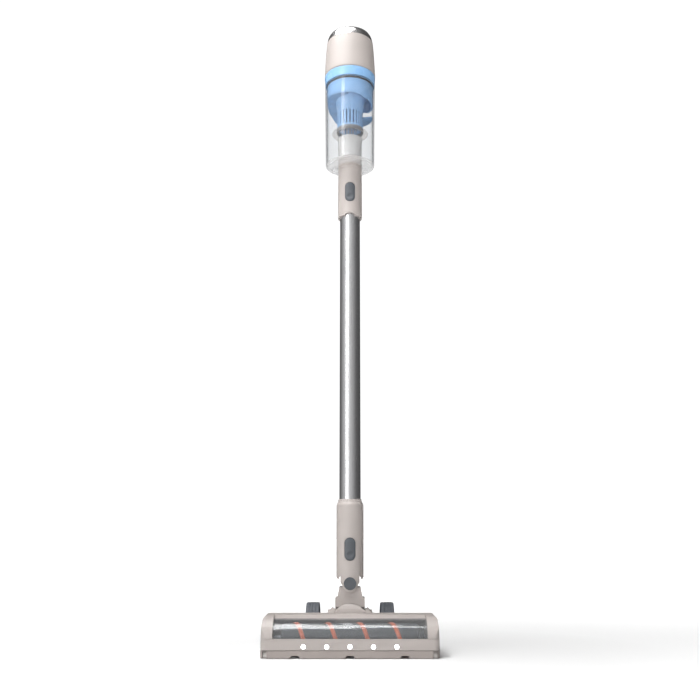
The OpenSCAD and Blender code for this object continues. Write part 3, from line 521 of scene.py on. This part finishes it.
def build_motor_unit():
    foot = half_width("motor_housing")
    band_lo, band_hi = low("chrome_band").z, high("chrome_band").z
    z0 = low("motor_housing").z
    height = band_hi - z0
    neck = half_width("chrome_band")
    # tapered housing, with a small round foot
    wall = curve_through([
        (foot - 0.0002, z0 + 0.002), (foot - 0.0005, z0 + 0.14 * height), (foot - 0.0013, z0 + 0.34 * height),
        (foot - 0.0024, z0 + 0.58 * height), (neck + 0.0002, band_lo - 0.0002)
    ], 6)
    outer = [(foot - 0.0018, z0), (foot - 0.0008, z0 + 0.0005)] + wall
    thickness = 0.003
    inner = [(r - thickness, z) for r, z in reversed(outer)]
    cap = lathe("motor_cap_shell", outer + inner, TAUPE, "motor_unit")
    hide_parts("motor_housing")
    # bright band over the shoulder
    rise = band_hi - band_lo
    band = curve_through([
        (neck, band_lo), (neck - 0.0009, band_lo + 0.35 * rise), (neck - 0.0026, band_lo + 0.7 * rise),
        (neck - 0.0052, band_hi - 0.0005)
    ], 6)
    profile = band + [(neck - 0.0065, band_hi), (neck - 0.0085, band_hi - 0.0008),
                                          (neck - 0.0085, band_lo)]
    ring = lathe("shoulder_band", profile, CHROME, "motor_unit")
    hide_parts("chrome_band")
    # control panel on top, with a lit ring of marks
    top = band_hi - 0.0006
    radius = neck - 0.0087
    panel = lathe("control_panel", [
        (0, top - 0.0034), (radius, top - 0.0034), (radius, top - 0.001), (radius - 0.001, top - 0.0003),
        (0.0125, top), (0.0115, top - 0.0004), (0.0105, top - 0.0012), (0, top - 0.0014)
    ], DARK_GLOSS, "motor_unit", closed=False)
    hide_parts("top_panel")
    foot_z, crown_z = low("power_button").z, high("power_button").z
    knob = lathe("power_key", [
        (0, foot_z), (0.0088, foot_z), (0.0088, top + 0.0001), (0.0082, crown_z - 0.0002),
        (0.006, crown_z - 0.0004), (0.003, crown_z - 0.0007), (0, crown_z - 0.0008)
    ], PALE, "power", closed=False, about=centre("power_button"), segments=64)
    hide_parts("power_button")
    light_ring = 0.024
    for k in range(3):
        w = math.radians(-125 + 35 * k)
        place = Vector((AXIS.x + light_ring * math.cos(w), AXIS.y + light_ring * math.sin(w), 0))
        lathe(f"level_light_{k + 1}", [(0, top - 0.0004), (0.0012, top - 0.0004), (0.0010, top + 0.0002),
                                       (0, top + 0.0003)], LED_SOFT, "motor_unit",
              closed=False, about=place, segments=16)


def build_cyclone():
    ring_r = half_width("seal_ring") - 0.0006
    seal_lo, seal_hi = low("seal_ring").z, high("seal_ring").z
    core = half_width("shroud") + 0.0002
    core_z = high("shroud").z
    ring_z0 = seal_lo - 0.022
    # outer ring with a seam groove and the recess under it
    profile = rounded([
        (ring_r - 0.0008, seal_lo, 0), (ring_r, seal_lo - 0.0006, 0.0005), (ring_r, seal_lo - 0.0072, 0.0003),
        (ring_r - 0.0004, seal_lo - 0.0075, 0.0002), (ring_r, seal_lo - 0.0078, 0.0003),
        (ring_r - 0.0008, ring_z0, 0.0006), (ring_r - 0.003, ring_z0, 0.0006),
        (ring_r - 0.004, ring_z0 + 0.010, 0.001), (core + 0.010, ring_z0 + 0.012, 0.004),
        (core + 0.002, ring_z0 + 0.004, 0.004), (core, core_z, 0.001), (core - 0.003, core_z, 0.0002),
        (core - 0.003, seal_hi, 0), (ring_r - 0.003, seal_hi, 0), (ring_r - 0.003, seal_lo, 0)
    ])
    body = lathe("cyclone_shell", profile, BLUE, "cyclone", segments=120)
    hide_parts("cyclone_body")
    # skirt of the ring, whose lower edge dips on the right
    def level(table, angle):
        """Height at an angle, eased between the rows (angle, height) of a table."""
        for (a0, z_a), (a1, z_b) in zip(table, table[1:]):
            if a0 <= angle <= a1:
                t = (angle - a0) / (a1 - a0)
                t = t * t * (3 - 2 * t)
                return z_a + (z_b - z_a) * t
        return table[-1][1]

    def spot(r, angle, z):
        return (AXIS.x + r * math.cos(math.radians(angle)), AXIS.y + r * math.sin(math.radians(angle)), z)

    dip = [(-90, -0.010), (-40, -0.016), (0, -0.020), (30, -0.017), (53, -0.011), (80, -0.004), (110, -0.004),
           (200, -0.006), (240, -0.009), (270, -0.010)]
    rings = []
    for angle in range(-90, 271, 3):
        z = ring_z0 + 0.0035 + level(dip, angle)
        rings.append([spot(ring_r - 0.0030, angle, z + 0.0006), spot(ring_r - 0.0012, angle, z),
                      spot(ring_r - 0.0006, angle, z + 0.0006), spot(ring_r - 0.0006, angle, ring_z0 + 0.002),
                      spot(ring_r - 0.0030, angle, ring_z0 + 0.002)])
    loft("cyclone_skirt", rings, BLUE, "cyclone")
    # ramp that dives behind the core from the left and comes round low on the right, in a darker blue that is
    # painted shade on its downward face
    ramp = [(-12, -0.0430), (0, -0.0425), (53, -0.0395), (100, -0.0375), (126, -0.0340), (150, -0.0240),
            (180, -0.0125), (200, -0.0085), (240, -0.0065), (262, -0.0060)]
    rings = []
    ramp_start, ramp_turn, ramp_steps = -12, 274, 89
    for k in range(ramp_steps + 1):
        angle = ramp_start + ramp_turn * k / ramp_steps
        z = ring_z0 + 0.0035 + level(ramp, angle)
        rings.append([spot(core - 0.0006, angle, z - 0.001), spot(ring_r - 0.0026, angle, z - 0.0002),
                      spot(ring_r - 0.0016, angle, z + 0.0004), spot(ring_r - 0.0012, angle, z + 0.0014),
                      spot(ring_r - 0.0016, angle, z + 0.0026), spot(core - 0.0006, angle, z + 0.003)])
    loft("cyclone_ramp", rings, BLUE_PAINTED_SHADE, "cyclone")
    # flared foot of the ring's ceiling around the core
    lathe("core_flare", curve_through([
        (core - 0.001, core_z + 0.001), (core + 0.0002, core_z + 0.004), (core + 0.0012, core_z + 0.013),
        (core + 0.0035, core_z + 0.022), (core + 0.0085, ring_z0 + 0.009)
    ], 6) + [(core - 0.001, ring_z0 + 0.009)], BLUE, "cyclone")
    end_z = low("shroud").z
    lathe("shroud_end_ring", rounded([
        (core - 0.0015, end_z - 0.0075, 0), (core + 0.0003, end_z - 0.0075, 0.0006),
        (core + 0.0007, end_z - 0.001, 0.0006), (core + 0.0004, end_z - 0.0002, 0),
        (core - 0.0015, end_z - 0.0002, 0)
    ]), GREY, "cyclone")
    # seal with two lips
    seal_r = ring_r + 0.0005
    seal = lathe("seal_lips", [
        (ring_r - 0.0028, seal_lo), (seal_r - 0.0006, seal_lo), (seal_r, seal_lo + 0.0005),
        (seal_r - 0.0005, seal_lo + 0.0012), (seal_r - 0.0005, seal_hi - 0.0012), (seal_r, seal_hi - 0.0005),
        (seal_r - 0.0006, seal_hi), (ring_r - 0.0028, seal_hi)
    ], RUBBER, "cyclone")
    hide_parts("seal_ring")
    keep("shroud", BLUE, 0.0003)
    # skirt under the shroud, and its collar
    z0, z1 = low("skirt_disc").z, high("skirt_disc").z
    skirt_r = half_width("skirt_disc")
    skirt = lathe("skirt_flange", rounded([
        (core - 0.0024, z0, 0), (skirt_r - 0.0006, z0, 0.0004), (skirt_r, z0 + 0.0008, 0.0004),
        (skirt_r - 0.0006, z0 + 0.0018, 0.0004), (core + 0.001, z0 + 0.0022, 0.001), (core, z1, 0.0005),
        (core - 0.0024, z1, 0)
    ]), SKIRT, "cyclone")
    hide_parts("skirt_disc")
    # rim that joins the filter holder to the housing
    lo, hi = low("filter_frame"), high("filter_frame")
    rim_r = half_width("filter_frame")
    rim = lathe("filter_rim", rounded([
        (core - 0.003, lo.z, 0), (rim_r - 0.0012, lo.z, 0.0006), (rim_r - 0.0002, hi.z - 0.003, 0.0006),
        (rim_r, hi.z - 0.0008, 0.0006), (rim_r - 0.001, hi.z, 0.0005), (rim_r - 0.0045, hi.z, 0.0003),
        (rim_r - 0.005, lo.z + 0.003, 0.0005), (core - 0.003, lo.z + 0.003, 0)
    ]), BLUE, "filter")
    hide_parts("filter_frame")
    keep("filter_pleats", PAPER, 0)


def build_bucket():
    lo, hi = low("dust_bucket"), high("dust_bucket")
    floor_z = low("bucket_floor").z
    r1 = half_width("dust_bucket")
    r0 = half_width("bucket_floor")
    wall = 0.0022
    shell = lathe("bucket_shell", rounded([
        (r0 - wall, lo.z, 0), (r0, lo.z, 0.0004), (r1, hi.z - 0.004, 0.004), (r1, hi.z - 0.0004, 0.0004),
        (r1 - wall, hi.z, 0.0004), (r1 - wall - 0.0002, hi.z - 0.006, 0.001), (r0 - wall, lo.z, 0)
    ])[:-1], CLEAR, "bucket", segments=120)
    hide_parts("dust_bucket")
    neck_r = half_width("inlet_neck")
    base = lathe("bucket_base", rounded([
        (neck_r, floor_z, 0), (neck_r + 0.006, floor_z, 0.001), (neck_r + 0.007, floor_z + 0.0006, 0.001),
        (r0 - 0.006, floor_z + 0.0006, 0.002), (r0 - 0.0005, floor_z + 0.0002, 0.002),
        (r0, floor_z + 0.0026, 0.001), (neck_r, floor_z + 0.0026, 0)
    ]), FROSTED, "bucket", segments=120)
    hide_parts("bucket_floor")
    keep("inlet_neck", TAUPE, 0.0004)
    t0, t1 = low("inlet_tube").z, high("inlet_tube").z
    wide = half_width("inlet_tube")
    bore = 0.0137
    riser = lathe("inlet_riser", rounded([
        (bore, t0, 0), (wide, t0, 0.0004), (wide - 0.0016, t0 + 0.006, 0.004),
        (wide - 0.0012, t1 - 0.008, 0.004), (wide, t1 - 0.001, 0.001), (wide - 0.001, t1, 0.0004),
        (bore + 0.001, t1, 0.0004), (bore, t1 - 0.004, 0)
    ]), MILKY, "bucket")
    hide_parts("inlet_tube")
    keep("inlet_flap", DARK, 0.0003)


def build_handle():
    """The loop handle as one smooth skin, with a grip inlay and the battery dock."""
    lo, hi = low("handle_left"), high("handle_right")
    half = (hi.x - lo.x) / 2
    front, back = lo.y, hi.y
    bottom, top = lo.z, hi.z
    dock_top = bottom + 0.040
    radius = 0.0135
    mid_y = back - 0.014
    bend = 0.030
    z_top = top - radius
    path = [Vector((front + 0.010, z_top - 0.003)), Vector((front + 0.022, z_top - 0.001))]
    for k in range(9):
        w = math.radians(84 - 84 * k / 8)
        path.append(Vector((mid_y - bend + bend * math.cos(w), z_top - bend + bend * math.sin(w))))
    path += [Vector((mid_y - 0.001, z_top - bend - 0.012)), Vector((mid_y - 0.003, z_top - bend - 0.026)),
             Vector((mid_y - 0.005, dock_top + 0.006)), Vector((mid_y - 0.006, dock_top - 0.010))]

    def skin(name, points, half_width, thick, mat, slot):
        rings = []
        for i, p in enumerate(points):
            a = points[max(i - 1, 0)]
            b = points[min(i + 1, len(points) - 1)]
            along = (b - a).normalized()
            side = Vector((-along.y, along.x))
            rings.append([(x, p.x + side.x * s, p.y + side.y * s)
                          for x, s in superellipse(half_width, thick, 2.5)])
        return loft(name, rings, mat, "motor_unit")

    dense = curve_through(path, 4)
    grip = skin("handle_loop", dense, half - 0.0005, radius - 0.0006, TAUPE, "taupe")
    # grip inlay along the inside and back of the grip
    inlay = [p for p in dense if dock_top + 0.012 < p.y < z_top - bend + 0.008]
    skin("grip_inlay", inlay, half - 0.0003, radius - 0.0002, RUBBER, "rubber")
    # dock behind the bucket, clear of the filter's rim as the motor unit lifts
    face = max(front + 0.0021, high("filter_frame").y + 0.0006)
    outline = rounded([
        (face, bottom, 0), (back - 0.0004, bottom + 0.0004, 0.004),
        (back - 0.0004, dock_top - 0.011, 0.008), (mid_y + 0.004, dock_top - 0.0004, 0.008),
        (face + 0.0019, dock_top + 0.001, 0.003), (face, dock_top - 0.002, 0.002), (face, bottom, 0)
    ])[:-1]
    dock = plate("battery_dock", outline, -half, half, "YZ", TAUPE, "motor_unit", 0.0035)
    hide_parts("handle_left")
    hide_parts("handle_right")


def build_battery():
    lo, hi = low("battery_case"), high("battery_case")
    # each level's height and its share of the full outline
    levels = [(lo.z, 0.90), (lo.z + 0.0012, 0.955), (lo.z + 0.004, 0.99), (lo.z + 0.010, 1.0),
              (lo.z + 0.5 * (hi.z - lo.z), 1.0), (hi.z - 0.004, 1.0), (hi.z - 0.001, 0.985), (hi.z, 0.96)]
    mid_y = (lo.y + hi.y) / 2
    skin = [[((hi.x - lo.x) / 2 * a * s, mid_y + (hi.y - lo.y) / 2 * b * s, z)
             for a, b in superellipse(1, 1, 5, 64)] for z, s in levels]
    case = loft("battery_shell", skin, TAUPE, "battery")
    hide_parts("battery_case")
    keep("battery_cells", CELLS, 0.0006)
    lo, hi = low("battery_latch"), high("battery_latch")
    corner = 0.003
    outline = rounded([
        (lo.x, lo.z + 0.004, 0), (lo.x, lo.z, corner), (hi.x, lo.z, corner), (hi.x, hi.z, corner),
        (lo.x, hi.z, corner), (lo.x, lo.z + 0.004, 0)
    ])[:-1]
    key = plate("battery_key", outline, lo.y, hi.y, "XZ", PALE, "battery_release", 0.0006)
    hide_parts("battery_latch")


# ---------------------------------------------------------------- wand and neck


def release_key(name, node, body, sleeve_r):
    """A stadium button that follows the sleeve, with a thumb dimple near its lower end."""
    lo, hi = low(node), high(node)
    half = (hi.x - lo.x) / 2
    z0, z1 = lo.z, hi.z
    bm = bmesh.new()
    rows, cols = 60, 28
    back_y = hi.y - 0.0004
    least_thickness = 0.0002
    rim_drop, rim_reach = 0.0010, 0.0007
    dimple_z, dimple_r, dimple_depth = z0 + half * 1.15, half * 0.62, 0.0011
    grid = []
    for i in range(rows + 1):
        row = []
        z = z0 + (z1 - z0) * i / rows
        if z < z0 + half:
            width = math.sqrt(max(0, half ** 2 - (z0 + half - z) ** 2))
        elif z > z1 - half:
            width = math.sqrt(max(0, half ** 2 - (z - z1 + half) ** 2))
        else:
            width = half
        width = max(width, 0.0002)
        for j in range(cols + 1):
            x = width * (2 * j / cols - 1)
            edge = min(width - abs(x), z - z0, z1 - z)
            y = AXIS.y - math.sqrt(sleeve_r ** 2 - x ** 2)
            y += rim_drop * math.exp(-max(0, edge) / rim_reach)
            reach = math.hypot(x, z - dimple_z) / dimple_r
            if reach < 1:
                y += dimple_depth * (1 - reach ** 2)
            row.append(bm.verts.new((x, min(y, back_y - least_thickness), z)))
        grid.append(row)
    for i in range(rows):
        for j in range(cols):
            bm.faces.new([grid[i][j], grid[i][j + 1], grid[i + 1][j + 1], grid[i + 1][j]])
    rim = [e for e in bm.edges if e.is_boundary]
    back = bmesh.ops.extrude_edge_only(bm, edges=rim)
    verts = [v for v in back["geom"] if isinstance(v, bmesh.types.BMVert)]
    for v in verts:
        v.co.y = back_y
    bmesh.ops.contextual_create(bm, geom=[e for e in bm.edges if e.is_boundary])
    key = make(name, bm, DARK, body, 60)
    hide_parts(node)


def build_wand():
    keep("wand_tube", ALUMINIUM, 0)
    keep("lower_collar", TAUPE, 0.0006, angle=30)
    keep("upper_collar", TAUPE, 0.0008, 3, angle=30)
    keep("neck_connector", TAUPE, 0.0008, 3, angle=30)
    release_key("nozzle_release_key", "nozzle_button", "nozzle_release", half_width("neck_connector"))
    release_key("wand_release_key", "wand_button", "wand_release", half_width("upper_collar"))
    keep("swivel_pins", DARK, 0.0006, 3)
    keep("elbow", TAUPE, 0.0010, 3, angle=30)
    keep("airway_hose", RUBBER, 0)
    for name in ("nozzle_button_spring", "wand_button_spring"):
        keep(name, STEEL, 0)


# ---------------------------------------------------------------- floor head


def build_brush():
    lo, hi = low("brush_nap"), high("brush_nap")
    r = (hi.z - lo.z) / 2
    length = hi.x - lo.x
    # nap sleeve with a slightly uneven pile
    bore = 0.015
    profile = [(bore, lo.x)]
    steps = 90
    random.seed(4)
    for k in range(steps + 1):
        x = lo.x + length * k / steps
        end = min(x - lo.x, hi.x - x)
        profile.append((r - 0.0015 * math.exp(-end / 0.0015) + random.uniform(-1, 1) * 0.00012, x))
    profile.append((bore, hi.x))
    nap = lathe("brush_pile", profile, NAP, "brush", axis="X", about=BRUSH, segments=72, angle=80)
    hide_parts("brush_nap")
    # bristle row: one rounded rib along a helix
    tip = (high("bristle_strip").z - low("bristle_strip").z) / 2
    start, end = low("bristle_strip").x, high("bristle_strip").x
    lead = 0.048
    # the row's angle at one place along the brush
    mark_x, mark_angle = -0.074, math.radians(143)
    count = int((end - start) / lead * 48)
    half_angle = math.radians(25)
    section = [(-1, r - 0.0006), (-1, r + 0.0010), (-0.8, tip - 0.0006), (-0.4, tip - 0.0001), (0, tip),
               (0.4, tip - 0.0001), (0.8, tip - 0.0006), (1, r + 0.0010), (1, r - 0.0006)]
    rings = []
    for k in range(count + 1):
        t = k / count
        x = start + (end - start) * t
        mid = mark_angle + 2 * math.pi * (x - mark_x) / lead
        ring = []
        for a, rad in section:
            w = mid + a * half_angle
            fuzz = random.uniform(-1, 1) * 0.00015
            ring.append((x, BRUSH.y + (rad + fuzz) * math.cos(w), BRUSH.z + (rad + fuzz) * math.sin(w)))
        rings.append(ring)
    rib = loft("bristle_row", rings, BRISTLE, "brush", angle=70)
    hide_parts("bristle_strip")
    keep("brush_core", DARK, 0.0005)
    keep("brush_pulley", DARK, 0.0005)
    keep("motor_pulley", STEEL, 0.0003)
    keep("drive_belt", RUBBER, 0)
    keep("brush_motor", STEEL, 0.0006)


def build_head():
    keep("head_shell", TAUPE, 0.0008, 3, angle=30)
    for node in ("end_cap_left", "end_cap_right", "hub_cover"):
        keep(node, TAUPE, 0.0012, 3, angle=30)
    keep("sole_plate", TAUPE_DEEP, 0.0006)
    keep("brush_window", WINDOW, 0)
    keep("light_bar", TAUPE, 0.0010, 3)
    keep("led_board", BOARD, 0)
    keep("axle_pins", STEEL, 0.0002)
    keep("glide_strip", FELT, 0.0004)
    keep("head_screws", STEEL, 0.0002)
    keep("brush_latch", DARK, 0.0008)
    keep("front_roller_left", PALE, 0.0006)
    keep("front_roller_right", PALE, 0.0006)
    keep("led_lenses", LED, 0.0004)


def build_wheels():
    for side, node, body in ((-1, "rear_wheel_left", "wheel_left"), (1, "rear_wheel_right", "wheel_right")):
        lo, hi = low(node), high(node)
        mid = (lo + hi) / 2
        r = (hi.z - lo.z) / 2
        out_x = hi.x if side > 0 else lo.x
        in_x = lo.x if side > 0 else hi.x
        width = hi.x - lo.x
        # tyre with three grooves and round shoulders
        corners = [(r - 0.006, in_x, 0), (r - 0.0008, in_x, 0.0015), (r - 0.0002, in_x + side * 0.003, 0.002)]
        for k in range(3):
            x = in_x + side * width * (0.27 + 0.23 * k)
            corners += [(r, x - side * 0.0008, 0.0002), (r - 0.0007, x, 0.0002),
                        (r, x + side * 0.0008, 0.0002)]
        corners += [(r - 0.0002, out_x - side * 0.003, 0.002), (r - 0.0008, out_x, 0.0015),
                    (r - 0.006, out_x, 0)]
        tyre = lathe(f"tyre_{body}", rounded(corners), TYRE, body,
                     axis="X", about=mid, segments=110)
        # wheel disc with a dished face and a hub
        face = out_x - side * 0.0005
        bore = 0.00305
        disc = lathe(f"disc_{body}", rounded([
            (bore, in_x + side * 0.001, 0), (0.008, in_x + side * 0.001, 0.0005),
            (0.0085, in_x + side * 0.009, 0.002), (r - 0.0062, in_x + side * 0.009, 0.001),
            (r - 0.0062, face, 0.0008), (r - 0.009, face, 0.0008), (r - 0.012, face - side * 0.0035, 0.002),
            (0.013, face - side * 0.0035, 0.002), (0.010, face - side * 0.001, 0.001),
            (bore, face - side * 0.001, 0)
        ]), DARK, body, axis="X", about=mid)
        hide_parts(node)


def build_inside():
    keep("suction_motor", STEEL, 0.0005)
    keep("impeller", PALE, 0.0002)
    keep("main_board", BOARD, 0)
    keep("bucket_button", DARK, 0.0008)
    keep("charge_socket", RUBBER, 0.0005)


build_stage()
build_motor_unit()
build_cyclone()
build_bucket()
build_handle()
build_battery()
build_wand()
build_brush()
build_head()
build_wheels()
build_inside()
